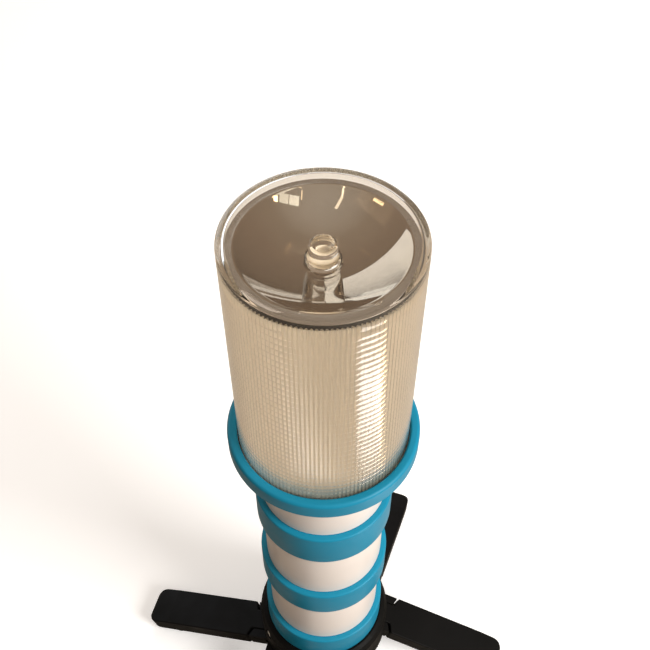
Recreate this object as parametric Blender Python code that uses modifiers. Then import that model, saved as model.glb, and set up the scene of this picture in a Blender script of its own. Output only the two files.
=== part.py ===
"""Traffic baton light: a clear prismatic head with a mirror dish in its top, a blue gripping body with
pale reflective bands, and a black hub with four legs that fold down from their open stops.

Frame: +Z up along the baton, the floor at z = 0, the baton's axis on x = y = 0. The right leg points
along +X. Lengths in the tables below are in millimetres and are turned into metres by MM.
"""

import math

import bmesh
import bpy
from mathutils import Matrix, Vector

MM = 0.001
GAP = 0.3

# Heights above the floor.
LENS_TOP = 333.5
HEAD_FLOOR = 222.0
COLLAR_BOTTOM = 219.5
HUB_TOP = 52.5
HUB_BOTTOM = 21.0
CAP_BOTTOM = 12.0

# Head.
LENS_R = 35.0
FLUTE_DEPTH = 0.6
FLUTES = 72
LENS_BORE_R = 32.6
LENS_SEAT_R = 33.0
LENS_COVER = 2.2
LENS_EDGE = 2.5
FLUTE_TOP = LENS_TOP - 7.2
DISH_R = 31.4
DISH_BOWL_R = 28.6
DISH_RIM_Z = LENS_TOP - 6.6
DISH_DEPTH = 7.5
DISH_WALL = 1.2
POST_R = 5.0
COLLAR_R = 39.5
MAST_HALF = 7.0
LED_COUNT = 7
LED_PITCH = 11.2

# Body.
CORE_R = 27.2
BORE_R = 24.5
RING_R = 30.8
BAND_R = 28.0
RINGS = ((183.0, 162.7), (125.7, 108.2), (70.7, 52.8))
BAND_TOPS = (212.2, RINGS[0][1], RINGS[1][1])
BUTTON_Z = 172.9
BUTTON_R = 6.4
CELL_R = 16.6
CELL_H = 61.5

# Base.
HUB_R = 35.0
LEG_SLOPE = math.radians(17.0)
LEG_AXIS_R = 26.0
LEG_AXIS_Z = 30.0
LEG_LENGTH = 79.0
LEG_HALF = 10.5
LEG_ROOT = 10.4
KNUCKLE_HALF = 5.5
LEG_T = 4.5
LUG_HALF = 10.2
PIN_R = 1.5
PIN_LENGTH = 18.0
PAD_S = 67.0
# Each leg's azimuth in degrees, and how far its middle line stands off to the left of the axis as it points.
LEGS = (("right", 0.0, 11.0), ("back", 87.0, -14.0), ("left", 180.0, 12.5), ("front", 267.0, -14.0))


def collection(name):
    made = bpy.data.collections.new(name)
    bpy.context.scene.collection.children.link(made)
    return made


def clear_scene():
    for obj in list(bpy.data.objects):
        bpy.data.objects.remove(obj, do_unlink=True)


clear_scene()
PARTS = collection("traffic_baton_light")
CUTTERS = collection("cutters")


def material(name, colour, roughness, metallic=0.0, transmission=0.0):
    made = bpy.data.materials.new(name)
    made.use_nodes = True
    shader = made.node_tree.nodes["Principled BSDF"]
    shader.inputs["Base Color"].default_value = (*colour, 1.0)
    shader.inputs["Roughness"].default_value = roughness
    shader.inputs["Metallic"].default_value = metallic
    shader.inputs["Transmission Weight"].default_value = transmission
    return made


CLEAR = material("clear_polycarbonate", (0.86, 0.80, 0.72), 0.12, 0.0, 0.6)
MIRROR = material("vacuum_metallised", (0.45, 0.40, 0.34), 0.08, 1.0)
BLUE = material("blue_abs", (0.03, 0.30, 0.47), 0.35)
PALE = material("pale_reflective_film", (0.80, 0.72, 0.66), 0.5)
CREAM = material("cream_diffuser", (0.76, 0.68, 0.58), 0.6)
BLACK = material("black_nylon", (0.012, 0.011, 0.010), 0.5)
RUBBER = material("black_rubber", (0.016, 0.016, 0.016), 0.8)
STEEL = material("zinc_steel", (0.55, 0.55, 0.56), 0.3, 1.0)
BRASS = material("brass", (0.62, 0.46, 0.20), 0.3, 1.0)
BOARD = material("green_board", (0.03, 0.16, 0.07), 0.5)
ALUMINIUM = material("aluminium", (0.62, 0.62, 0.63), 0.35, 1.0)
CELL = material("cell_jacket", (0.05, 0.05, 0.06), 0.35)
RED = material("red_insulation", (0.45, 0.02, 0.02), 0.5)


def add(name, mesh, look, cutter=False):
    obj = bpy.data.objects.new(name, mesh)
    (CUTTERS if cutter else PARTS).objects.link(obj)
    if cutter:
        obj.hide_render = True
        obj.display_type = "WIRE"
    else:
        mesh.materials.append(look)
    return obj


def turned(name, profile, look=None, steps=32, cutter=False):
    """A profile of (radius, height) that runs down its outer side, turned about Z.
    A profile that starts on the axis also ends there; any other is a closed loop."""
    mesh = bpy.data.meshes.new(name)
    points = [(r * MM, 0.0, z * MM) for r, z in profile]
    edges = [(i, i + 1) for i in range(len(points) - 1)]
    if profile[0][0] > 0.0:
        edges.append((len(points) - 1, 0))
    mesh.from_pydata(points, edges, [])
    obj = add(name, mesh, look, cutter)
    screw = obj.modifiers.new("Turn", "SCREW")
    screw.axis = "Z"
    screw.steps = screw.render_steps = steps
    screw.use_merge_vertices = True
    screw.merge_threshold = 0.00001
    screw.use_smooth_shade = True
    return obj


def cylinder(name, radius, length, look=None, cutter=False, sides=24):
    """A cylinder about its own Z axis, centred on its origin."""
    mesh = bpy.data.meshes.new(name)
    form = bmesh.new()
    bmesh.ops.create_cone(
        form, cap_ends=True, segments=sides, radius1=radius * MM, radius2=radius * MM, depth=length * MM
    )
    form.to_mesh(mesh)
    form.free()
    mesh.shade_smooth()
    mesh.set_sharp_from_angle(angle=math.radians(40.0))
    return add(name, mesh, look, cutter)


def box(name, size, centre, look=None, cutter=False, bevel=0.0):
    mesh = bpy.data.meshes.new(name)
    form = bmesh.new()
    bmesh.ops.create_cube(form, size=1.0)
    bmesh.ops.scale(form, vec=Vector(size) * MM, verts=form.verts)
    form.to_mesh(mesh)
    form.free()
    obj = add(name, mesh, look, cutter)
    obj.matrix_world = Matrix.Translation(Vector(centre) * MM)
    if bevel:
        rounding(obj, bevel)
    return obj


def prism(name, outline, low, high, look=None, cutter=False, upright=False):
    """An outline extruded along Z from low to high; upright takes the outline as (x, z), extruded along Y."""
    mesh = bpy.data.meshes.new(name)
    form = bmesh.new()
    if upright:
        corners = [form.verts.new((x * MM, high * MM, z * MM)) for x, z in outline]
        along = Vector((0.0, (low - high) * MM, 0.0))
    else:
        corners = [form.verts.new((x * MM, y * MM, low * MM)) for x, y in outline]
        along = Vector((0.0, 0.0, (high - low) * MM))
    face = form.faces.new(corners)
    swept = bmesh.ops.extrude_face_region(form, geom=[face])
    moved = [item for item in swept["geom"] if isinstance(item, bmesh.types.BMVert)]
    bmesh.ops.translate(form, vec=along, verts=moved)
    bmesh.ops.recalc_face_normals(form, faces=form.faces)
    form.to_mesh(mesh)
    form.free()
    return add(name, mesh, look, cutter)


def rounding(obj, width, segments=2):
    bevel = obj.modifiers.new("Rounding", "BEVEL")
    bevel.width = width * MM
    bevel.segments = segments
    bevel.limit_method = "ANGLE"
    bevel.angle_limit = math.radians(50.0)


def combine(obj, other, operation):
    boolean = obj.modifiers.new(operation.title() + "_" + other.name, "BOOLEAN")
    boolean.operation = operation
    boolean.object = other
    boolean.solver = "EXACT"


def cut(obj, other):
    combine(obj, other, "DIFFERENCE")


def join(obj, other):
    combine(obj, other, "UNION")


def wire(name, route, radius, look):
    """A round wire along a route of points, made a mesh with its caps welded."""
    curve = bpy.data.curves.new(name, "CURVE")
    curve.dimensions = "3D"
    curve.bevel_depth = radius * MM
    curve.bevel_resolution = 2
    curve.use_fill_caps = True
    line = curve.splines.new("POLY")
    line.points.add(len(route) - 1)
    for point, (x, y, z) in zip(line.points, route):
        point.co = (x * MM, y * MM, z * MM, 1.0)
    guide = bpy.data.objects.new(name + "_guide", curve)
    CUTTERS.objects.link(guide)
    graph = bpy.context.evaluated_depsgraph_get()
    mesh = bpy.data.meshes.new_from_object(guide.evaluated_get(graph))
    mesh.name = name
    bpy.data.objects.remove(guide, do_unlink=True)
    form = bmesh.new()
    form.from_mesh(mesh)
    bmesh.ops.remove_doubles(form, verts=form.verts, dist=0.000001)
    form.to_mesh(mesh)
    form.free()
    mesh.shade_smooth()
    mesh.materials.clear()
    return add(name, mesh, look)


def arc(cx, cy, radius, start, end, steps):
    """Points of an arc about (cx, cy), angles in degrees."""
    angles = [math.radians(start + (end - start) * i / steps) for i in range(steps + 1)]
    return [(cx + radius * math.cos(a), cy + radius * math.sin(a)) for a in angles]


def radial(obj, azimuth, distance, height):
    """Lays a piece's own Z axis along the outward direction at this azimuth in degrees."""
    turn = Matrix.Rotation(math.radians(azimuth), 4, "Z") @ Matrix.Rotation(math.radians(90.0), 4, "Y")
    out = Vector((math.cos(math.radians(azimuth)), math.sin(math.radians(azimuth)), 0.0))
    obj.matrix_world = Matrix.Translation(out * distance * MM + Vector((0, 0, height * MM))) @ turn


# Head ------------------------------------------------------------------------------------------------


def bowl(r, lift=0.0):
    """Height of the dish's spherical bowl at radius r."""
    sphere = (DISH_BOWL_R**2 + DISH_DEPTH**2) / (2.0 * DISH_DEPTH)
    sag = sphere - math.sqrt(sphere**2 - r**2)
    return DISH_RIM_Z - DISH_DEPTH + sag + lift


def make_lens():
    """A closed-top shell with a rounded edge, smooth outside and fluted down its inner wall."""
    edge = arc(LENS_R - LENS_EDGE, LENS_TOP - LENS_EDGE, LENS_EDGE, 90.0, 0.0, 4)
    outside = [(0.0, LENS_TOP)] + edge + [(LENS_R, 225.6), (37.4, 225.6), (37.4, 223.6), (0.0, 223.6)]
    lens = turned("lens", outside, CLEAR, steps=72)
    roof = LENS_TOP - LENS_COVER
    seat = (
        (0.0, roof),
        (LENS_SEAT_R - 1.2, roof),
        (LENS_SEAT_R, roof - 1.2),
        (LENS_SEAT_R, FLUTE_TOP),
        (0.0, FLUTE_TOP),
    )
    cut(lens, turned("lens_seat", seat, cutter=True, steps=48))
    count = 2 * FLUTES
    outline = []
    for i in range(count):
        r = LENS_BORE_R - (FLUTE_DEPTH if i % 2 else 0.0)
        a = 2.0 * math.pi * i / count
        outline.append((r * math.cos(a), r * math.sin(a)))
    cut(lens, prism("lens_bore", outline, HEAD_FLOOR - 2.0, FLUTE_TOP + 0.5, cutter=True))


def make_dish():
    radii = [4.6 + (DISH_BOWL_R - 4.6) * i / 5 for i in range(6)]
    under = [(r, bowl(r, -DISH_WALL)) for r in reversed(radii[:-1])]
    upper = [(r, bowl(r)) for r in radii]
    rim = [(DISH_R, DISH_RIM_Z), (DISH_R, DISH_RIM_Z - DISH_WALL), (27.6, DISH_RIM_Z - DISH_WALL)]
    turned("reflector_dish", rim + under + upper, MIRROR, steps=48)


def make_post():
    top = LENS_TOP - 4.5
    foot = bowl(6.3) + GAP
    profile = (
        (0.0, top - 0.5),
        (2.6, top - 0.4),
        (3.9, top),
        (4.6, top - 0.3),
        (POST_R, top - 1.0),
        (POST_R, foot + 2.2),
        (6.3, foot + 1.2),
        (6.3, foot),
        (4.2, foot),
        (4.2, bowl(0.0) - 4.8),
        (0.0, bowl(0.0) - 4.8),
    )
    turned("top_light_post", profile, CLEAR, steps=24)


def make_head_rings():
    turned(
        "dish_seal",
        (
            (32.0, FLUTE_TOP + 1.1),
            (32.7, FLUTE_TOP + 0.9),
            (32.7, FLUTE_TOP + 0.3),
            (31.7, FLUTE_TOP + 0.3),
        ),
        RUBBER,
    )
    turned("lens_seal", ((37.2, 223.3), (37.2, 222.3), (33.0, 222.3), (33.0, 223.3)), RUBBER)
    collar = (
        (38.3, 228.0),
        (39.2, 227.6),
        (COLLAR_R, 226.6),
        (COLLAR_R, 220.3),
        (38.9, COLLAR_BOTTOM),
        (37.8, COLLAR_BOTTOM),
        (37.8, 225.9),
        (35.4, 225.9),
        (35.4, 227.4),
        (36.0, 228.0),
    )
    turned("lens_collar", collar, BLUE, steps=48)
    top = DISH_RIM_Z - DISH_WALL - GAP
    turned("inner_diffuser", ((31.5, top), (31.5, 222.4), (30.0, 222.4), (30.0, top)), CREAM)


def make_leds():
    turned("driver_board", ((28.5, 223.9), (28.5, 222.3), (3.0, 222.3), (3.0, 223.9)), BOARD)
    mast = box("led_mast", (14.0, 14.0, 84.0), (0.0, 0.0, 266.2), ALUMINIUM)
    cut(mast, box("mast_bore", (11.0, 11.0, 100.0), (0.0, 0.0, 266.2), cutter=True))
    for face in range(4):
        name = "led_board_%d" % (face + 1)
        board = box(name, (1.2, 12.0, 78.0), (0.0, 0.0, 0.0), BOARD)
        for led in range(LED_COUNT):
            z = (led - (LED_COUNT - 1) / 2.0) * LED_PITCH
            chip = box("%s_chip_%d" % (name, led + 1), (2.6, 5.0, 5.0), (0.7, 0.0, z), cutter=True)
            chip.parent = board
            join(board, chip)
        turn = Matrix.Rotation(math.radians(90.0 * face), 4, "Z")
        shift = Matrix.Translation(Vector((MAST_HALF + GAP + 0.6, 0.0, 266.0)) * MM)
        board.matrix_world = turn @ shift
    top = (
        (0.0, 312.8),
        (1.6, 312.3),
        (2.5, 311.2),
        (2.5, 309.7),
        (9.0, 309.7),
        (9.0, 308.5),
        (0.0, 308.5),
    )
    turned("top_led_board", top, BOARD, steps=24)


# Body ------------------------------------------------------------------------------------------------


def make_body():
    outside = [(37.4, HEAD_FLOOR), (37.4, 219.7), (36.4, 218.9), (28.4, 212.6), (CORE_R, 212.2)]
    for top, bottom in RINGS:
        outside += [(CORE_R, top), (RING_R - 0.8, top), (RING_R, top - 0.8)]
        outside += [(RING_R, bottom + 0.8), (RING_R - 0.8, bottom), (CORE_R, bottom)]
    outside += [(CORE_R, 40.3), (BORE_R, 40.3), (BORE_R, HEAD_FLOOR)]
    body = turned("body_tube", outside, BLUE, steps=48)
    hole = cylinder("button_hole", 8.9, 16.0, cutter=True)
    radial(hole, 90.0, 29.0, BUTTON_Z)
    cut(body, hole)
    for i in range(4):
        bolt = cylinder("body_bolt_hole_%d" % (i + 1), 1.8, 12.0, cutter=True, sides=12)
        radial(bolt, 45.0 + 90.0 * i, 26.0, 46.0)
        cut(body, bolt)
    for i, top in enumerate(BAND_TOPS):
        bottom = RINGS[i][0]
        sleeve = ((BAND_R, top - 0.4), (BAND_R, bottom + 0.4), (27.5, bottom + 0.4), (27.5, top - 0.4))
        turned("reflective_band_%d" % (i + 1), sleeve, PALE, steps=48)


def make_switch():
    """The button and its bezel are turned about their own Z axis, which points out along +Y."""
    profile = (
        (0.0, 33.4),
        (4.2, 33.1),
        (5.8, 32.5),
        (BUTTON_R, 31.5),
        (BUTTON_R, 25.6),
        (8.2, 25.6),
        (8.2, 23.9),
        (0.0, 23.9),
    )
    button = turned("button", [(r, y - 28.0) for r, y in profile], RUBBER, steps=24)
    radial(button, 90.0, 28.0, BUTTON_Z)
    bezel = ((9.4, 32.2), (10.0, 31.7), (10.0, 31.2), (8.6, 31.2), (8.6, 26.0), (6.8, 26.0), (6.8, 32.2))
    ring = turned("button_bezel", [(r, y - 28.0) for r, y in bezel], BLACK, steps=24)
    radial(ring, 90.0, 28.0, BUTTON_Z)
    housing = box("switch_housing", (14.0, 6.5, 19.0), (0.0, 15.25, 170.5), BLACK, bevel=0.6)
    plunger = cylinder("switch_plunger", 1.8, 6.0, cutter=True, sides=16)
    radial(plunger, 90.0, 19.1, BUTTON_Z)
    join(housing, plunger)


def make_electronics():
    board = cylinder("controller_board", 24.0, 1.6, BOARD, sides=32)
    board.location = Vector((0.0, 0.0, 159.8)) * MM
    parts = (
        box("controller_chip", (9.0, 9.0, 2.4), (-8.0, -4.0, 161.3), cutter=True),
        box("controller_driver", (7.0, 6.0, 3.0), (6.0, -12.0, 161.6), cutter=True),
        box("controller_coil", (8.0, 8.0, 6.0), (9.0, 0.0, 163.1), cutter=True),
    )
    for part in parts:
        join(board, part)
    carrier = ((24.0, 158.4), (24.0, 156.4), (2.3, 156.4), (2.3, 158.4))
    turned("contact_carrier", carrier, BLACK)
    plate = ((0.0, 158.7), (2.0, 158.7), (2.0, 156.1), (9.0, 156.1), (9.0, 155.1), (0.0, 155.1))
    turned("contact_plate", plate, BRASS, steps=24)
    tube = (
        (24.0, 150.0),
        (24.0, 148.0),
        (19.0, 148.0),
        (19.0, 30.0),
        (17.4, 30.0),
        (17.4, 150.0),
    )
    turned("battery_tube", tube, BLACK)
    for i in range(2):
        foot = 31.5 + i * (CELL_H + GAP)
        cell = (
            (0.0, foot + CELL_H),
            (4.6, foot + CELL_H),
            (4.8, foot + CELL_H - 1.6),
            (15.6, foot + CELL_H - 1.8),
            (CELL_R, foot + CELL_H - 2.8),
            (CELL_R, foot + 1.0),
            (15.8, foot),
            (0.0, foot),
        )
        turned("battery_cell_%d" % (i + 1), cell, CELL, steps=24)
    for name, look, x in (("lead_red", RED, -15.0), ("lead_black", RUBBER, 15.0)):
        route = []
        for i in range(13):
            t = i / 12.0
            bow = 2.5 * math.sin(math.pi * t)
            route.append((x + math.copysign(bow, x), -9.0 + bow, 161.0 + 60.9 * t))
        wire(name, route, 0.8, look)


# Base ------------------------------------------------------------------------------------------------


def leg_frame(azimuth, offset, slope=True):
    """World matrix of a leg: origin on its hinge axis, X along the leg, Y along the hinge axis."""
    a = math.radians(azimuth)
    out = Vector((math.cos(a), math.sin(a), 0.0))
    across = Vector((-math.sin(a), math.cos(a), 0.0))
    origin = (out * LEG_AXIS_R + across * offset + Vector((0.0, 0.0, LEG_AXIS_Z))) * MM
    matrix = Matrix.Translation(origin) @ Matrix.Rotation(a, 4, "Z")
    return matrix @ Matrix.Rotation(LEG_SLOPE, 4, "Y") if slope else matrix


def leg_plan():
    """Half outline of a leg seen from above, mirrored: narrow knuckle, flare, then a straight bar."""
    half = [(-6.0, KNUCKLE_HALF), (LEG_ROOT, KNUCKLE_HALF)]
    for i in range(1, 5):
        t = i / 4.0
        ease = t * t * (3.0 - 2.0 * t)
        half.append((LEG_ROOT + 2.4 * t, KNUCKLE_HALF + (LEG_HALF - KNUCKLE_HALF) * ease))
    half += arc(LEG_LENGTH - 6.0, LEG_HALF - 6.0, 6.0, 90.0, 0.0, 6)
    return half + [(x, -y) for x, y in reversed(half)]


def leg_side():
    """Side view of a leg: a round knuckle about the hinge axis and a bar that thins a little to the tip."""
    tip = LEG_LENGTH
    upper = [(tip, 1.6), (tip - 0.6, 2.8), (tip - 2.2, 3.6), (tip - 14.0, LEG_T)]
    knuckle = arc(0.0, 0.0, LEG_T, 90.0, 270.0, 8)
    return upper + knuckle + [(tip - 1.6, -LEG_T), (tip, -3.2)]


def make_leg(name, azimuth, offset):
    leg = prism("leg_" + name, leg_plan(), -8.0, 8.0, BLACK)
    profile = prism("leg_side_" + name, leg_side(), -12.0, 12.0, cutter=True, upright=True)
    combine(leg, profile, "INTERSECT")
    rounding(leg, 1.0)
    pocket = box("leg_pocket_" + name, (34.0, 15.0, 4.4), (39.0, 0.0, -4.2), cutter=True)
    hinge = cylinder("leg_hinge_hole_" + name, PIN_R + GAP, 30.0, cutter=True, sides=16)
    hinge.matrix_world = Matrix.Rotation(math.radians(90.0), 4, "X")
    stud = cylinder("leg_stud_hole_" + name, 3.3, 8.0, cutter=True, sides=16)
    stud.matrix_world = Matrix.Translation(Vector((PAD_S, 0.0, -4.4)) * MM)
    for tool in (pocket, hinge, stud):
        cut(leg, tool)
    frame = leg_frame(azimuth, offset)
    for tool in (profile, pocket, hinge, stud):
        tool.matrix_world = frame @ tool.matrix_world
    leg.matrix_world = frame


def make_pad(name, azimuth, offset):
    """A rubber wedge under the leg's tip: its top follows the leg, its flat bottom lies on the floor."""
    along = Vector((math.cos(LEG_SLOPE), -math.sin(LEG_SLOPE)))
    up = Vector((math.sin(LEG_SLOPE), math.cos(LEG_SLOPE)))
    near = along * (PAD_S - 7.5) - up * (LEG_T + GAP)
    far = along * (PAD_S + 7.5) - up * (LEG_T + GAP)
    floor = -LEG_AXIS_Z
    outline = [(near.x, near.y), (near.x + 0.8, floor), (far.x - 0.8, floor), (far.x, far.y)]
    pad = prism("foot_pad_" + name, outline, -8.0, 8.0, RUBBER, upright=True)
    rounding(pad, 0.8)
    stud = cylinder("pad_stud_" + name, 3.0, 5.0, cutter=True, sides=16)
    stud.matrix_world = leg_frame(azimuth, offset) @ Matrix.Translation(Vector((PAD_S, 0.0, -3.6)) * MM)
    join(pad, stud)
    pad.matrix_world = leg_frame(azimuth, offset, slope=False)


def make_lugs(name, azimuth, offset):
    """Two lugs beside a leg's knuckle: a spool about the hinge axis, just inside the leg's swing, cut to its thickness."""
    flare = ((5.8, LEG_ROOT - 0.4), (7.0, LEG_ROOT + 0.4), (8.6, LEG_ROOT + 0.9), (LUG_HALF, LEG_ROOT + 1.6))
    profile = [(r, t) for t, r in flare]
    profile += [(0.0, LUG_HALF), (0.0, -LUG_HALF)]
    profile += [(r, -t) for t, r in reversed(flare)]
    lugs = turned("leg_lugs_" + name, profile, steps=48, cutter=True)
    slab = box("leg_lug_slab_" + name, (18.0, 24.0, 8.4), (5.0, 0.0, 0.0), cutter=True)
    frame = leg_frame(azimuth, offset)
    lugs.matrix_world = frame @ Matrix.Rotation(math.radians(90.0), 4, "X")
    slab.matrix_world = frame @ slab.matrix_world
    combine(lugs, slab, "INTERSECT")
    return lugs


def make_hub():
    profile = (
        (31.6, HUB_TOP),
        (33.4, HUB_TOP - 1.4),
        (HUB_R, HUB_TOP - 4.4),
        (HUB_R, LEG_AXIS_Z),
        (30.0, HUB_BOTTOM + 0.6),
        (29.4, HUB_BOTTOM),
        (19.4, HUB_BOTTOM),
        (19.4, 25.1),
        (21.0, 25.1),
        (21.0, 27.2),
        (19.4, 27.2),
        (19.4, 40.0),
        (27.5, 40.0),
        (27.5, HUB_TOP),
    )
    hub = turned("leg_hub", profile, BLACK, steps=48)
    for name, azimuth, offset in LEGS:
        join(hub, make_lugs(name, azimuth, offset))
    roof = LEG_T + GAP
    wall = -5.0
    for name, azimuth, offset in LEGS:
        flat = leg_frame(azimuth, offset, slope=False)
        high = (roof - math.sin(LEG_SLOPE) * wall) / math.cos(LEG_SLOPE)
        low = (roof - math.sin(LEG_SLOPE) * 15.0) / math.cos(LEG_SLOPE)
        outline = ((wall, high), (15.0, low), (15.0, -14.0), (wall, -14.0))
        half = KNUCKLE_HALF + GAP
        slot = prism("hub_slot_" + name, outline, -half, half, cutter=True, upright=True)
        slot.matrix_world = flat
        cut(hub, slot)
        hole = cylinder("hub_pin_hole_" + name, PIN_R + GAP, 30.0, cutter=True, sides=16)
        lay = Matrix.Translation(Vector((0.0, math.copysign(4.8, offset), 0.0)) * MM)
        turn = Matrix.Rotation(math.radians(90.0), 4, "X")
        hole.matrix_world = flat @ lay @ turn
        cut(hub, hole)
        pin = cylinder("hinge_pin_" + name, PIN_R, PIN_LENGTH, STEEL, sides=16)
        pin.matrix_world = flat @ turn
    for i in range(2):
        entry = box("hub_entry_%d" % (i + 1), (5.0, 7.6, 8.2), (0.0, 0.0, 0.0), cutter=True)
        turn = Matrix.Rotation(math.radians(45.0 + 180.0 * i), 4, "Z")
        entry.matrix_world = turn @ Matrix.Translation(Vector((18.5, 0.0, 23.1)) * MM)
        cut(hub, entry)
    for i in range(4):
        azimuth = 45.0 + 90.0 * i
        head = cylinder("hub_head_hole_%d" % (i + 1), 3.0, 6.0, cutter=True, sides=16)
        radial(head, azimuth, 35.4, 46.0)
        cut(hub, head)
        shank = cylinder("hub_shank_hole_%d" % (i + 1), 1.8, 14.0, cutter=True, sides=12)
        radial(shank, azimuth, 30.0, 46.0)
        cut(hub, shank)
        screw = turned(
            "hub_screw_%d" % (i + 1),
            ((0.0, 2.0), (1.6, 2.0), (2.7, 1.2), (2.7, 0.0), (1.5, 0.0), (1.5, -7.2), (0.0, -7.2)),
            STEEL,
            steps=12,
        )
        slot = box("screw_slot_%d" % (i + 1), (0.8, 7.0, 1.4), (0.0, 0.0, 0.0), cutter=True)
        radial(screw, azimuth, 32.7, 46.0)
        slot.matrix_world = screw.matrix_world @ Matrix.Translation(Vector((0.0, 0.0, 2.1)) * MM)
        cut(screw, slot)


def make_cap():
    profile = (
        (0.0, 15.0),
        (15.5, 15.0),
        (15.5, 27.0),
        (18.9, 27.0),
        (18.9, 25.2),
        (17.4, 25.2),
        (17.4, 22.6),
        (18.9, 22.6),
        (18.9, 20.7),
        (21.3, 20.7),
        (21.3, 13.0),
        (20.3, CAP_BOTTOM),
        (0.0, CAP_BOTTOM),
    )
    cap = turned("battery_cap", profile, BLACK, steps=40)
    cut(cap, box("cap_coin_slot", (30.0, 4.0, 3.0), (0.0, 0.0, CAP_BOTTOM), cutter=True))
    for i in range(2):
        lug = box("cap_lug_%d" % (i + 1), (2.6, 6.0, 1.4), (0.0, 0.0, 0.0), cutter=True)
        turn = Matrix.Rotation(math.radians(135.0 + 180.0 * i), 4, "Z")
        lug.matrix_world = turn @ Matrix.Translation(Vector((19.2, 0.0, 26.1)) * MM)
        join(cap, lug)
    ring = [(18.4 + 0.7 * math.cos(a), 23.9 + 0.9 * math.sin(a)) for a in
            [math.radians(90.0 - 60.0 * i) for i in range(6)]]
    turned("cap_seal", ring, RUBBER, steps=32)
    turns, count = 3.0, 37
    route = []
    for i in range(count):
        t = i / (count - 1)
        a = 2.0 * math.pi * turns * t
        r = 10.0 - 3.0 * t
        route.append((r * math.cos(a), r * math.sin(a), 15.9 + 14.7 * t))
    wire("cap_spring", route, 0.6, STEEL)


def main():
    make_lens()
    make_dish()
    make_post()
    make_head_rings()
    make_leds()
    make_body()
    make_switch()
    make_electronics()
    make_hub()
    for name, azimuth, offset in LEGS:
        make_leg(name, azimuth, offset)
        make_pad(name, azimuth, offset)
    make_cap()


main()
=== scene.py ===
import math

import bmesh
import bpy
from mathutils import Matrix, Vector


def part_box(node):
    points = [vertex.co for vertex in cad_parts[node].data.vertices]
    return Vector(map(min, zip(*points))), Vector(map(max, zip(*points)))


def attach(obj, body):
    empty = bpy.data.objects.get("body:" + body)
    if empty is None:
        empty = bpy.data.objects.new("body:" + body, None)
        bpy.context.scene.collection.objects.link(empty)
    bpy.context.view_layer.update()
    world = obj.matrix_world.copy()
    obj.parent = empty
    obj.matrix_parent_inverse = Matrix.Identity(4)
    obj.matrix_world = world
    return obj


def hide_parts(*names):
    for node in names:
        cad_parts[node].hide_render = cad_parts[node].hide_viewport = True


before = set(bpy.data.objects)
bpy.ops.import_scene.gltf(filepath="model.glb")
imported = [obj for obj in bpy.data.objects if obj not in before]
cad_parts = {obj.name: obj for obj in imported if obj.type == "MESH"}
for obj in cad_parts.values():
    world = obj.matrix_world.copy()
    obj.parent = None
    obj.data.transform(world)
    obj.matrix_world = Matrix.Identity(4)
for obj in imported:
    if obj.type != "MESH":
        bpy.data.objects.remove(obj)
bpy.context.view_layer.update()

# Heights and radii are in millimetres, and places of lights and camera in metres.
MM = 0.001
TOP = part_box("lens")[1][2] / MM
LENS_R = 35.0
GAP = 0.3
SHARP = math.radians(38.0)

# Camera, in lens radii from the middle of the lens top, and its tilt and turn in degrees.
CAM_BACK, CAM_UP, CAM_SIDE = 6.017, 5.876, 0.017
CAM_DOWN = 49.9
CAM_TURN = 15.7
CAM_LENS, CAM_SENSOR = 50.7, 36.0


def viewed(x, y, z):
    """A point given as right, away and up from the camera's side of the baton's axis, in metres."""
    return Matrix.Rotation(math.radians(CAM_TURN), 4, "Z") @ Vector((x, y, z))


def make_camera():
    data = bpy.data.cameras.new("camera")
    data.lens = CAM_LENS
    data.sensor_width = CAM_SENSOR
    data.clip_start = 0.01
    camera = bpy.data.objects.new("camera", data)
    bpy.context.scene.collection.objects.link(camera)
    r = LENS_R * MM
    camera.location = viewed(CAM_SIDE * r, -CAM_BACK * r, TOP * MM + CAM_UP * r)
    camera.rotation_euler = (math.radians(90.0 - CAM_DOWN), 0.0, math.radians(CAM_TURN))
    bpy.context.scene.camera = camera


make_camera()
bpy.context.scene.view_settings.view_transform = "Standard"


# Materials -------------------------------------------------------------------------------------------


def set_stops(ramp, stops):
    """Gives a colour ramp these (position, colour) stops."""
    elements = ramp.color_ramp.elements
    while len(elements) < len(stops):
        elements.new(0.5)
    for element, (at, colour) in zip(elements, stops):
        element.position = at
        element.color = (*colour, 1.0)


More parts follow.
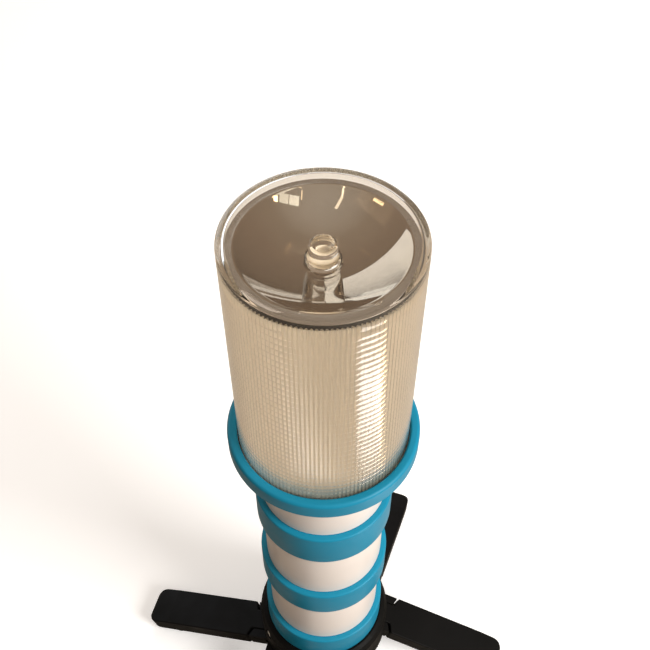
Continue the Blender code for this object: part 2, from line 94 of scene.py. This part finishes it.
class Look:
    """A Principled material with helpers for procedural detail in object space."""

    def __init__(self, name, colour, roughness, metallic=0.0, **sockets):
        self.material = bpy.data.materials.new(name)
        self.material.use_nodes = True
        self.tree = self.material.node_tree
        self.shader = self.tree.nodes["Principled BSDF"]
        self.colour = colour
        self.roughness = roughness
        self.set("Base Color", (*colour, 1.0))
        self.set("Roughness", roughness)
        self.set("Metallic", metallic)
        for key, value in sockets.items():
            self.set(key.replace("_", " "), value)
        self.bumps = None

    def set(self, socket, value):
        self.shader.inputs[socket].default_value = value

    def node(self, kind, **values):
        made = self.tree.nodes.new(kind)
        for key, value in values.items():
            setattr(made, key, value)
        return made

    def link(self, source, target):
        self.tree.links.new(source, target)

    def coordinates(self, scale=(1.0, 1.0, 1.0)):
        """Object space, stretched."""
        where = self.node("ShaderNodeTexCoord")
        mapping = self.node("ShaderNodeMapping")
        mapping.inputs["Scale"].default_value = scale
        self.link(where.outputs["Object"], mapping.inputs["Vector"])
        return mapping.outputs["Vector"]

    def noise(self, scale, detail=4.0, stretch=(1.0, 1.0, 1.0)):
        made = self.node("ShaderNodeTexNoise")
        made.inputs["Scale"].default_value = scale
        made.inputs["Detail"].default_value = detail
        made.inputs["Roughness"].default_value = 0.55
        self.link(self.coordinates(stretch), made.inputs["Vector"])
        return made.outputs["Fac"]

    def ramp(self, fac, stops):
        made = self.node("ShaderNodeValToRGB")
        set_stops(made, stops)
        self.link(fac, made.inputs["Fac"])
        return made.outputs["Color"]

    def vary(self, scale, amount):
        """Soft mottling of the base colour by this share either way."""
        low = tuple(c * (1.0 - amount) for c in self.colour)
        high = tuple(min(1.0, c * (1.0 + amount)) for c in self.colour)
        colours = self.ramp(self.noise(scale), ((0.3, low), (0.7, high)))
        self.link(colours, self.shader.inputs["Base Color"])
        return self

    def wear(self, scale, spread, stretch=(1.0, 1.0, 1.0)):
        """Roughness that wanders by spread about its set value."""
        made = self.node("ShaderNodeMapRange")
        made.inputs["From Min"].default_value = 0.3
        made.inputs["From Max"].default_value = 0.7
        made.inputs["To Min"].default_value = max(0.0, self.roughness - spread)
        made.inputs["To Max"].default_value = min(1.0, self.roughness + spread)
        self.link(self.noise(scale, stretch=stretch), made.inputs["Value"])
        self.link(made.outputs["Result"], self.shader.inputs["Roughness"])
        return self

    def paint_glow_below(self, low, high, colour, amount):
        """Paints this colour in below the height low, fading out at the height high, in millimetres; used for
        painted light.
        """
        where = self.node("ShaderNodeTexCoord")
        split = self.node("ShaderNodeSeparateXYZ")
        self.link(where.outputs["Object"], split.inputs["Vector"])
        fade = self.node("ShaderNodeMapRange", interpolation_type="SMOOTHSTEP")
        fade.inputs["From Min"].default_value = high * MM
        fade.inputs["From Max"].default_value = low * MM
        fade.inputs["To Max"].default_value = amount
        self.link(split.outputs["Z"], fade.inputs["Value"])
        mix = self.node("ShaderNodeMix", data_type="RGBA")
        self.link(fade.outputs["Result"], mix.inputs["Factor"])
        socket = self.shader.inputs["Base Color"]
        if socket.is_linked:
            self.link(socket.links[0].from_socket, mix.inputs["A"])
        else:
            mix.inputs["A"].default_value = (*self.colour, 1.0)
        mix.inputs["B"].default_value = (*colour, 1.0)
        self.link(mix.outputs["Result"], socket)
        return self

    def bump(self, height, distance, strength):
        """Relief of this depth in millimetres, laid over any relief set before."""
        made = self.node("ShaderNodeBump")
        made.inputs["Distance"].default_value = distance * MM
        made.inputs["Strength"].default_value = strength
        self.link(height, made.inputs["Height"])
        if self.bumps:
            self.link(self.bumps, made.inputs["Normal"])
        self.bumps = made.outputs["Normal"]
        self.link(self.bumps, self.shader.inputs["Normal"])
        return self


def make_looks():
    looks = {}
    clear = Look("clear_cover", (0.98, 0.95, 0.90), 0.03, Transmission_Weight=1.0, IOR=1.49)
    clear.wear(60.0, 0.02)
    looks["clear"] = clear.material
    prism = Look("prismatic_haze", (0.585, 0.51, 0.395), 0.35, Transmission_Weight=0.35, IOR=1.49)
    prism.vary(20.0, 0.03)
    # Painted glow: the collar's blue is painted into the foot of the lens and fades out upward, standing in
    # for blue light from the collar seen through the lens.
    prism.paint_glow_below(226.0, 238.0, (0.06, 0.28, 0.38), 0.35)
    looks["prism"] = prism.material
    ribbed = Look("ribbed_clear", (0.97, 0.93, 0.87), 0.14, Transmission_Weight=1.0, IOR=1.49)
    ribbed.set("Coat Weight", 1.0)
    ribbed.set("Coat Roughness", 0.03)
    ribbed.wear(50.0, 0.03)
    looks["ribbed"] = ribbed.material
    amber = Look("lamp_amber", (0.74, 0.66, 0.54), 0.3)
    amber.vary(200.0, 0.15)
    looks["amber"] = amber.material
    mirror = Look("mirror_coat", (0.52, 0.46, 0.39), 0.02, 1.0)
    mirror.vary(40.0, 0.05)
    mirror.bump(mirror.noise(30.0, 2.0), 0.3, 0.12)
    looks["mirror"] = mirror.material
    satin = Look("satin_rim", (0.40, 0.36, 0.315), 0.22, 0.8)
    satin.vary(40.0, 0.05)
    satin.wear(90.0, 0.06)
    looks["satin"] = satin.material
    cream = Look("diffuser_cream", (0.66, 0.54, 0.41), 0.55)
    cream.vary(25.0, 0.05)
    cream.bump(cream.noise(900.0), 0.1, 0.3)
    looks["cream"] = cream.material
    blue = Look("blue_abs", (0.010, 0.255, 0.415), 0.40, Specular_IOR_Level=0.2)
    blue.vary(18.0, 0.06).wear(45.0, 0.06)
    blue.bump(blue.noise(1400.0, 2.0), 0.05, 0.35)
    looks["blue"] = blue.material
    film = Look("reflective_film", (0.93, 0.85, 0.79), 0.42, Coat_Weight=0.25, Coat_Roughness=0.2)
    film.vary(22.0, 0.035)
    cells = film.node("ShaderNodeTexVoronoi", feature="DISTANCE_TO_EDGE")
    cells.inputs["Scale"].default_value = 900.0
    film.link(film.coordinates(), cells.inputs["Vector"])
    film.bump(cells.outputs["Distance"], 0.06, 0.35)
    looks["film"] = film.material
    nylon = Look("black_nylon", (0.0028, 0.0026, 0.0024), 0.58, Specular_IOR_Level=0.10)
    nylon.vary(30.0, 0.3).wear(50.0, 0.1)
    nylon.bump(nylon.noise(1600.0, 3.0), 0.08, 0.5)
    looks["nylon"] = nylon.material
    rubber = Look("black_rubber", (0.011, 0.011, 0.011), 0.75, Specular_IOR_Level=0.3)
    rubber.vary(60.0, 0.25)
    rubber.bump(rubber.noise(1200.0), 0.1, 0.5)
    looks["rubber"] = rubber.material
    steel = Look("zinc_steel", (0.56, 0.56, 0.55), 0.28, 1.0)
    steel.wear(400.0, 0.1, (1.0, 1.0, 0.1))
    steel.vary(200.0, 0.08)
    looks["steel"] = steel.material
    brass = Look("brass", (0.60, 0.43, 0.17), 0.28, 1.0)
    brass.wear(300.0, 0.08)
    looks["brass"] = brass.material
    board = Look("solder_mask", (0.012, 0.11, 0.04), 0.32)
    board.vary(300.0, 0.3)
    looks["board"] = board.material
    alloy = Look("aluminium", (0.60, 0.60, 0.61), 0.35, 1.0)
    alloy.wear(500.0, 0.1, (1.0, 1.0, 0.05))
    looks["alloy"] = alloy.material
    jacket = Look("cell_jacket", (0.03, 0.03, 0.035), 0.3)
    jacket.vary(90.0, 0.2)
    looks["jacket"] = jacket.material
    red = Look("red_insulation", (0.42, 0.015, 0.012), 0.45)
    red.vary(200.0, 0.1)
    looks["red"] = red.material
    return looks


LOOKS = make_looks()


# Shapes ----------------------------------------------------------------------------------------------


def piece(name, mesh, look, body, *nodes):
    """A visible piece that rides on a body and stands in for these CAD nodes."""
    obj = bpy.data.objects.new(name, mesh)
    bpy.context.scene.collection.objects.link(obj)
    if look:
        mesh.materials.append(LOOKS[look])
    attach(obj, body)
    if nodes:
        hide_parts(*nodes)
    return obj


def fillet(corners):
    """Rounds a closed profile's corners. Each corner is (radius, height, fillet)."""
    count = len(corners)
    points = []
    for i, (r, z, size) in enumerate(corners):
        here = Vector((r, z))
        if size <= 0.0:
            points.append((r, z))
            continue
        before = Vector(corners[i - 1][:2]) - here
        after = Vector(corners[(i + 1) % count][:2]) - here
        size = min(size, 0.45 * before.length, 0.45 * after.length)
        start = here + before.normalized() * size
        end = here + after.normalized() * size
        for k in range(5):
            t = k / 4.0
            mixed = start * (1 - t) ** 2 + here * 2 * t * (1 - t) + end * t**2
            points.append((mixed.x, mixed.y))
    return points


def turned_mesh(name, profile, steps=192, wave=None):
    """A closed profile turned about Z. wave(step, index) may shift each point's radius."""
    form = bmesh.new()
    rings = []
    for index, (r, z) in enumerate(profile):
        if r < 1e-6:
            rings.append([form.verts.new((0.0, 0.0, z * MM))])
            continue
        ring = []
        for s in range(steps):
            a = 2.0 * math.pi * s / steps
            radius = (r + (wave(s, index) if wave else 0.0)) * MM
            ring.append(form.verts.new((radius * math.cos(a), radius * math.sin(a), z * MM)))
        rings.append(ring)
    for i, ring in enumerate(rings):
        other = rings[(i + 1) % len(rings)]
        if len(ring) == 1 and len(other) == 1:
            continue
        for s in range(steps):
            t = (s + 1) % steps
            corners = [ring[s % len(ring)], ring[t % len(ring)]]
            corners += [other[t % len(other)], other[s % len(other)]]
            unique = []
            for vert in corners:
                if vert not in unique:
                    unique.append(vert)
            form.faces.new(unique)
    bmesh.ops.recalc_face_normals(form, faces=form.faces)
    mesh = bpy.data.meshes.new(name)
    form.to_mesh(mesh)
    form.free()
    mesh.shade_smooth()
    mesh.set_sharp_from_angle(angle=SHARP)
    return mesh


def turned(name, corners, look, body, *nodes, steps=192):
    return piece(name, turned_mesh(name, fillet(corners), steps), look, body, *nodes)


def apply(obj):
    """Fixes a piece's modifiers into its mesh."""
    graph = bpy.context.evaluated_depsgraph_get()
    mesh = bpy.data.meshes.new_from_object(obj.evaluated_get(graph))
    obj.modifiers.clear()
    obj.data = mesh
    mesh.shade_smooth()
    mesh.set_sharp_from_angle(angle=SHARP)


# Head ------------------------------------------------------------------------------------------------

FLUTES = 132
RINGS = 33
RING_TOP = TOP - 10.0
RING_BOTTOM = 226.6
FLUTE_TOP = TOP - 6.8
WALL_R, LEDGE_R = 32.6, 33.0
FLANGE_R = 37.4
FLANGE_LOW, FLANGE_HIGH = 223.6, 225.6
ROOF = TOP - 2.2
DISH_RIM = TOP - 5.0
BOWL_R, BOWL_DEPTH = 29.0, 7.6
BOWL_HOLE, BOWL_STEPS = 4.6, 40
DISH_T = 1.2
DISH_R = 32.2
SEAL_R, SEAL_T = 31.7, 0.35
COLLAR_R, COLLAR_LOW, COLLAR_TOP = 39.5, 219.5, 228.0
POST_R, POST_FOOT_R = 5.0, 6.3

# Depths of the flutes at the heights of the inner wall's points, from the foot up.
FLUTE_DEPTH = (0.35, 0.4, 1.1)

# One ring of the outer side: (share of the pitch, depth).
RING_CELL = ((0.0, 0.11), (0.08, 0.03), (0.14, 0.01), (0.5, 0.0), (0.86, 0.01), (0.92, 0.03))


def lens_outside():
    """The lens's outer side from the middle of its top down to its foot flange."""
    points = [(0.0, TOP), (14.0, TOP), (26.0, TOP), (32.35, TOP)]
    edge = 2.5
    for k in range(9):
        a = math.radians(90.0 - 90.0 * k / 8)
        points.append((LENS_R - edge + edge * math.cos(a), TOP - edge + edge * math.sin(a)))
    points.append((LENS_R, RING_TOP + 1.5))
    pitch = (RING_TOP - RING_BOTTOM) / RINGS
    for ring in range(RINGS):
        for share, depth in RING_CELL:
            points.append((LENS_R - depth, RING_TOP - (ring + share) * pitch))
    points += [(LENS_R - RING_CELL[0][1], RING_BOTTOM), (LENS_R, RING_BOTTOM - 0.4)]
    points += [(LENS_R, FLANGE_HIGH), (FLANGE_R - 0.2, FLANGE_HIGH), (FLANGE_R, FLANGE_HIGH - 0.2)]
    return points + [(FLANGE_R, FLANGE_LOW + 0.2), (FLANGE_R - 0.2, FLANGE_LOW)]


def make_lens():
    """A closed-topped shell, fluted inside and ringed outside, with extra points that keep its top flat."""
    outside = lens_outside()
    inside = [(WALL_R + 0.3, FLANGE_LOW), (WALL_R, FLANGE_LOW + 0.3), (WALL_R, 240.0)]
    inside += [(LEDGE_R - 0.05, FLUTE_TOP - 0.4), (LEDGE_R, FLUTE_TOP), (LEDGE_R, FLUTE_TOP + 0.1)]
    inside += [(LEDGE_R, ROOF - 1.2), (WALL_R, ROOF - 0.4), (31.9, ROOF), (31.75, ROOF)]
    inside += [(16.0, ROOF), (0.0, ROOF)]
    first = len(outside) + 1
    last = first + len(FLUTE_DEPTH)

    def flute(s, index):
        if first <= index < last:
            return -FLUTE_DEPTH[index - first] * (s % 2)
        return 0.0

    mesh = turned_mesh("lens_prismatic", outside + inside, FLUTES * 2, flute)
    mesh.materials.append(LOOKS["prism"])
    for face in mesh.polygons:
        centre = face.center / MM
        fluted = centre.xy.length < LEDGE_R - 0.1 and FLANGE_LOW + 0.4 < centre.z < FLUTE_TOP + 0.05
        ringed = centre.xy.length > LENS_R - 0.5 and RING_BOTTOM < centre.z < RING_TOP
        face.material_index = 0 if fluted else 2 if ringed else 1
    lens = piece("lens_prismatic", mesh, "clear", "housing", "lens")
    mesh.materials.append(LOOKS["ribbed"])
    lens.visible_shadow = False


def bowl(r):
    """The height of the dish's mirror face at this radius, on one arc from its middle to its edge."""
    radius = (BOWL_R**2 + BOWL_DEPTH**2) / (2 * BOWL_DEPTH)
    return DISH_RIM - BOWL_DEPTH + radius - math.sqrt(radius**2 - r**2)


def make_dish():
    """A mirror bowl with a raised lip and a satin rim that reaches nearly to the lens's wall."""
    rim = DISH_RIM
    radii = [BOWL_HOLE + (BOWL_R - BOWL_HOLE) * i / BOWL_STEPS for i in range(BOWL_STEPS + 1)]
    upper = [(r, bowl(r)) for r in radii]
    under = [(r, z - DISH_T) for r, z in reversed(upper[:-1])]
    edge = [(DISH_R - 0.1, rim), (DISH_R, rim - 0.1), (DISH_R, rim - 0.3), (31.3, rim - 0.5)]
    edge += [(31.3, rim - DISH_T), (28.2, rim - DISH_T)]
    lip = [(29.3, rim + 0.13), (29.7, rim + 0.1), (30.0, rim)]
    mesh = turned_mesh("dish_mirror", edge + under + upper + lip, 256)
    dish = piece("dish_mirror", mesh, "mirror", "housing", "reflector_dish")
    dish.data.materials.append(LOOKS["satin"])
    for face in dish.data.polygons:
        centre = face.center / MM
        if centre.xy.length > 29.8 and centre.z > rim - 0.6:
            face.material_index = 1


def make_dish_seal():
    top = DISH_RIM - 0.55
    low = FLUTE_TOP - 2.2
    inner = SEAL_R - SEAL_T
    corners = [(inner, top, 0.05), (SEAL_R, top, 0.05), (SEAL_R, low, 0.05), (inner, low, 0.05)]
    turned("dish_seal_ring", corners, "nylon", "housing", "dish_seal")


def make_post():
    """A clear post with a dished top and a flared foot, and an amber stem through the bowl's hole."""
    top = TOP - 4.5
    foot = bowl(POST_FOOT_R) + 0.3
    stem = bowl(0.0) - 4.8
    profile = [(0.0, top - 1.2), (2.2, top - 1.1), (3.1, top - 0.5), (3.9, top), (4.5, top - 0.15)]
    profile += [(4.9, top - 0.6), (POST_R, top - 1.2), (POST_R, top - 1.4)]
    profile += [(POST_R, foot + 3.2), (POST_R, foot + 3.0), (5.2, foot + 2.2), (6.0, foot + 1.5)]
    profile += [(POST_FOOT_R, foot + 1.0), (POST_FOOT_R, foot + 0.2), (6.1, foot)]
    profile += [(4.3, foot), (4.2, foot - 0.2)]
    profile += [(4.2, stem), (0.0, stem)]
    mesh = turned_mesh("post_clear", profile, 96)
    mesh.materials.append(LOOKS["clear"])
    mesh.materials.append(LOOKS["amber"])
    for face in mesh.polygons:
        face.material_index = 1 if face.center.z / MM < foot - 0.1 else 0
    post = piece("post_clear", mesh, None, "housing", "top_light_post")
    post.visible_shadow = False


def make_collar():
    """The screwed ring round the foot of the lens, with a step inside for the lens's flange."""
    skirt = COLLAR_R - 1.7
    corners = [(COLLAR_R - 0.9, COLLAR_TOP, 0.9), (COLLAR_R, COLLAR_TOP - 1.0, 1.0)]
    corners += [(COLLAR_R, COLLAR_LOW + 0.7, 0.8), (COLLAR_R - 0.6, COLLAR_LOW, 0.4)]
    corners += [(skirt, COLLAR_LOW, 0.1), (skirt, FLANGE_HIGH + GAP, 0.1)]
    corners += [(35.4, FLANGE_HIGH + GAP, 0.1), (35.4, COLLAR_TOP - 0.7, 0.4), (36.0, COLLAR_TOP, 0.5)]
    turned("collar", corners, "blue", "housing", "lens_collar", steps=256)


# Body ------------------------------------------------------------------------------------------------

BODY_HIGH, BODY_LOW = 222.0, 40.3
CORE_R, CORE_HIGH = 27.2, 212.2
BORE_R = 24.5
RING_R = 30.8
BAND_R, BAND_T = 28.0, 0.5
BUTTON_Z, BUTTON_HOLE_R = 172.9, 8.9

# Top and bottom of each proud ring.
BODY_RINGS = ((183.0, 162.7), (125.7, 108.2), (70.7, 52.8))


def make_body():
    """The grip: a flange that flares out to the head, three proud rings, and the button's hole."""
    corners = [(FLANGE_R, BODY_HIGH, 0.3), (FLANGE_R, BODY_HIGH - 2.3, 0.3), (FLANGE_R - 1.0, 218.9, 0.5)]
    corners += [(CORE_R + 1.4, CORE_HIGH + 0.5, 0.8), (CORE_R, CORE_HIGH, 0.2)]
    for top, bottom in BODY_RINGS:
        corners += [(CORE_R, top, 0.1), (RING_R, top, 1.1), (RING_R, bottom, 1.1), (CORE_R, bottom, 0.1)]
    corners += [(CORE_R, BODY_LOW, 0.3), (BORE_R, BODY_LOW, 0.2), (BORE_R, BODY_HIGH, 0.2)]
    body = turned("body_shell", corners, "blue", "housing", "body_tube", steps=224)
    form = bmesh.new()
    r = BUTTON_HOLE_R * MM
    bmesh.ops.create_cone(form, cap_ends=True, segments=64, radius1=r, radius2=r, depth=16.0 * MM)
    mesh = bpy.data.meshes.new("hole_tool")
    form.to_mesh(mesh)
    form.free()
    tool = bpy.data.objects.new("hole_tool", mesh)
    place = Matrix.Translation(Vector((0.0, 29.0, BUTTON_Z)) * MM)
    tool.matrix_world = place @ Matrix.Rotation(math.radians(90.0), 4, "X")
    bpy.context.scene.collection.objects.link(tool)
    hole = body.modifiers.new("hole", "BOOLEAN")
    hole.object = tool
    hole.operation = "DIFFERENCE"
    apply(body)
    bpy.data.objects.remove(tool, do_unlink=True)


def make_bands():
    """The pale sleeves, each from a ring's top up to the next ring or the flare."""
    tops = (CORE_HIGH, BODY_RINGS[0][1], BODY_RINGS[1][1])
    inner = BAND_R - BAND_T
    for i, top in enumerate(tops):
        high, low = top - 0.4, BODY_RINGS[i][0] + 0.4
        corners = [(BAND_R, high, 0.15), (BAND_R, low, 0.15), (inner, low, 0.1), (inner, high, 0.1)]
        name = "film_band_%d" % (i + 1)
        turned(name, corners, "film", "housing", "reflective_band_%d" % (i + 1), steps=224)


# CAD nodes that keep their shape -----------------------------------------------------------------------

# Each look, and what the names of its nodes start with.
KEPT = {
    "cream": ("inner_diffuser",),
    "rubber": ("lens_seal", "cap_seal", "lead_black", "button", "foot_pad_"),
    "nylon": ("button_bezel", "switch_housing", "contact_carrier", "battery_tube", "leg_", "battery_cap"),
    "steel": ("hinge_pin_", "hub_screw_", "cap_spring"),
    "brass": ("contact_plate",),
    "board": ("led_board_", "top_led_board", "driver_board", "controller_board"),
    "alloy": ("led_mast",),
    "jacket": ("battery_cell_",),
    "red": ("lead_red",),
}


def dress_nodes():
    for name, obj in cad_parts.items():
        for look, starts in KEPT.items():
            if name.startswith(starts):
                obj.data.materials.clear()
                obj.data.materials.append(LOOKS[look])


# Studio ----------------------------------------------------------------------------------------------


FLOOR_SIZE, FLOOR_DROP = 3.0, 0.0004
FLOOR_GLOW = 0.34
CEILING_Z = 1.45
LIGHT_SIDE = 0.5
AIM = (0.0, 0.0, 0.2)
LENS_AIM = (0.0, 0.0, 0.28)
STREAK_AIM = (0.012, -0.030, 0.276)


def make_floor():
    """A pale floor that answers reflected, refracted and bounced rays with darker plain colours."""
    form = bmesh.new()
    bmesh.ops.create_grid(form, x_segments=1, y_segments=1, size=FLOOR_SIZE)
    mesh = bpy.data.meshes.new("floor")
    form.to_mesh(mesh)
    form.free()
    floor = bpy.data.objects.new("floor", mesh)
    floor.location.z = -FLOOR_DROP
    bpy.context.scene.collection.objects.link(floor)
    look = Look("floor_pale", (0.90, 0.90, 0.90), 0.9, Specular_IOR_Level=0.0)
    look.set("Emission Color", (1.0, 1.0, 1.0, 1.0))
    look.set("Emission Strength", FLOOR_GLOW)
    ray = look.node("ShaderNodeLightPath")
    surface = look.shader.outputs[0]
    answers = (
        ("Is Glossy Ray", (0.56, 0.50, 0.42)),
        ("Is Transmission Ray", (0.44, 0.36, 0.27)),
        ("Is Diffuse Ray", (0.20, 0.18, 0.16)),
    )
    for rays, colour in answers:
        plain = look.node("ShaderNodeBsdfDiffuse")
        plain.inputs["Color"].default_value = (*colour, 1.0)
        mix = look.node("ShaderNodeMixShader")
        look.link(ray.outputs[rays], mix.inputs[0])
        look.link(surface, mix.inputs[1])
        look.link(plain.outputs[0], mix.inputs[2])
        surface = mix.outputs[0]
    look.link(surface, look.tree.nodes["Material Output"].inputs["Surface"])
    mesh.materials.append(look.material)


def panel(name, place, aim, width, height, radiance, colour=(1.0, 1.0, 1.0)):
    """A soft light of this strength per area, seen in reflections and not by the camera."""
    data = bpy.data.lights.new(name, "AREA")
    data.shape = "RECTANGLE"
    data.size = width
    data.size_y = height
    data.energy = 4.0 * radiance * width * height
    data.color = colour
    light = bpy.data.objects.new(name, data)
    place, aim = viewed(*place), viewed(*aim)
    light.location = place
    light.rotation_euler = (aim - place).to_track_quat("-Z", "Y").to_euler()
    bpy.context.scene.collection.objects.link(light)
    light.visible_camera = False
    return light


def make_world():
    """A warm surround, brighter overhead, that the camera itself sees as pale."""
    world = bpy.data.worlds.new("studio")
    bpy.context.scene.world = world
    world.use_nodes = True
    tree = world.node_tree
    where = tree.nodes.new("ShaderNodeTexCoord")
    split = tree.nodes.new("ShaderNodeSeparateXYZ")
    ramp = tree.nodes.new("ShaderNodeValToRGB")
    tree.links.new(where.outputs["Generated"], split.inputs["Vector"])
    tree.links.new(split.outputs["Z"], ramp.inputs["Fac"])
    stops = ((0.0, (0.08, 0.07, 0.06)), (0.3, (0.30, 0.24, 0.19)), (0.7, (0.38, 0.30, 0.24)))
    stops += ((0.88, (0.44, 0.37, 0.305)), (1.0, (0.66, 0.62, 0.58)))
    set_stops(ramp, stops)
    ray = tree.nodes.new("ShaderNodeLightPath")
    mix = tree.nodes.new("ShaderNodeMix")
    mix.data_type = "RGBA"
    tree.links.new(ray.outputs["Is Camera Ray"], mix.inputs["Factor"])
    tree.links.new(ramp.outputs["Color"], mix.inputs["A"])
    mix.inputs["B"].default_value = (0.93, 0.92, 0.90, 1.0)
    tree.links.new(mix.outputs["Result"], tree.nodes["Background"].inputs["Color"])


def card(name, place, aim, width, height, radiance, colour=(1.0, 1.0, 1.0)):
    """A panel that shows in reflections only, and adds no light to rough surfaces."""
    light = panel(name, place, aim, width, height, radiance, colour)
    light.visible_diffuse = False
    return light


def ceiling(name, near, far, width, radiance, colour):
    """A narrow card overhead from one point to another, seen in the dish."""
    near, far = Vector((*near, CEILING_Z)), Vector((*far, CEILING_Z))
    middle = (near + far) / 2.0
    light = card(name, middle, (middle.x, middle.y, 0.0), width, (far - near).length, radiance, colour)
    run = Matrix.Rotation(math.radians(CAM_TURN), 3, "Z") @ (far - near)
    light.rotation_euler = (0.0, 0.0, math.atan2(run.y, run.x) - math.radians(90.0))


# Name, near end, far end, width, strength and colour of each card overhead.
CEILING = (
    ("pane_1", (0.305, 0.0), (0.305, 0.13), 0.11, 1.2, (0.94, 1.0, 0.98)),
    ("pane_2", (0.425, 0.0), (0.425, 0.13), 0.11, 1.0, (0.94, 1.0, 0.98)),
    ("lamp", (0.54, -0.02), (0.52, 0.14), 0.05, 6.0, (1.0, 0.80, 0.52)),
    ("gap_1", (-0.235, -0.18), (-0.20, 0.0), 0.02, 2.4, (1.0, 0.90, 0.74)),
    ("gap_2", (-0.20, 0.0), (-0.13, 0.14), 0.03, 1.5, (1.0, 0.92, 0.80)),
    ("gap_3", (0.225, -0.08), (0.225, 0.04), 0.012, 1.6, (1.0, 0.85, 0.62)),
    ("gap_4", (-0.56, 0.12), (-0.68, 0.26), 0.03, 2.5, (1.0, 0.80, 0.52)),
)


def linked(name, *objects):
    """A collection of the objects that a light is linked to."""
    made = bpy.data.collections.new(name)
    for obj in objects:
        made.objects.link(obj)
    return made


def link_lights(key, front, fill):
    """Spares the lens from the key light, and keeps the front light and the fill to the lens and its tube."""
    lens, tube = bpy.data.objects["lens_prismatic"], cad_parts["inner_diffuser"]
    spared = linked("spared_by_key", lens)
    key.light_linking.receiver_collection = spared
    spared.collection_objects[0].light_linking.link_state = "EXCLUDE"
    lit = linked("lit_by_fill", lens, tube)
    for light in (front, fill):
        light.light_linking.receiver_collection = lit


def make_lights():
    """Soft lights, and the cards that the lens's side and the dish reflect."""
    side = LIGHT_SIDE
    key = panel("key", (0.80, -0.50, 0.80), AIM, side, side, 15.5, (1.0, 0.98, 0.95))
    front = panel("front", (0.12, -0.90, 0.75), LENS_AIM, side, side, 7.0, (1.0, 0.96, 0.90))
    strip = card("strip", (0.143, -0.114, 0.085), STREAK_AIM, 0.086, 0.058, 3.4)
    bead = card("bead", (0.170, -0.072, 0.085), STREAK_AIM, 0.012, 0.058, 8.0, (1.0, 0.84, 0.6))
    wall = card("pale_wall", (-0.62, 0.88, 0.56), (0.0, 0.0, 0.56), 1.20, 1.10, 1.15, (0.90, 1.0, 1.10))
    wall.rotation_euler.rotate_axis("Z", math.radians(13.0))
    card("pale_sill", (0.18, 1.00, 0.29), (0.0, 0.0, 0.29), 0.50, 0.52, 0.80, (0.95, 1.0, 1.05))
    fill = panel("fill", (-0.60, -0.30, 0.60), LENS_AIM, side, side, 2.1, (1.0, 0.91, 0.80))
    rear = panel("rear", (0.0, 0.95, 0.80), AIM, side, side, 3.6, (1.0, 0.96, 0.90))
    for spec in CEILING:
        ceiling(*spec)
    glow = card("floor_glow", (0.0, 0.42, 0.01), (0.0, 0.42, 1.0), 0.40, 0.34, 0.50, (0.95, 1.0, 1.06))
    glow.visible_glossy = False
    for light in (strip, bead, front, rear):
        light.visible_transmission = False
    for light in (front, rear):
        light.visible_glossy = False
    link_lights(key, front, fill)


make_lens()
make_dish()
make_dish_seal()
make_post()
make_collar()
make_body()
make_bands()
dress_nodes()
make_floor()
make_world()
make_lights()
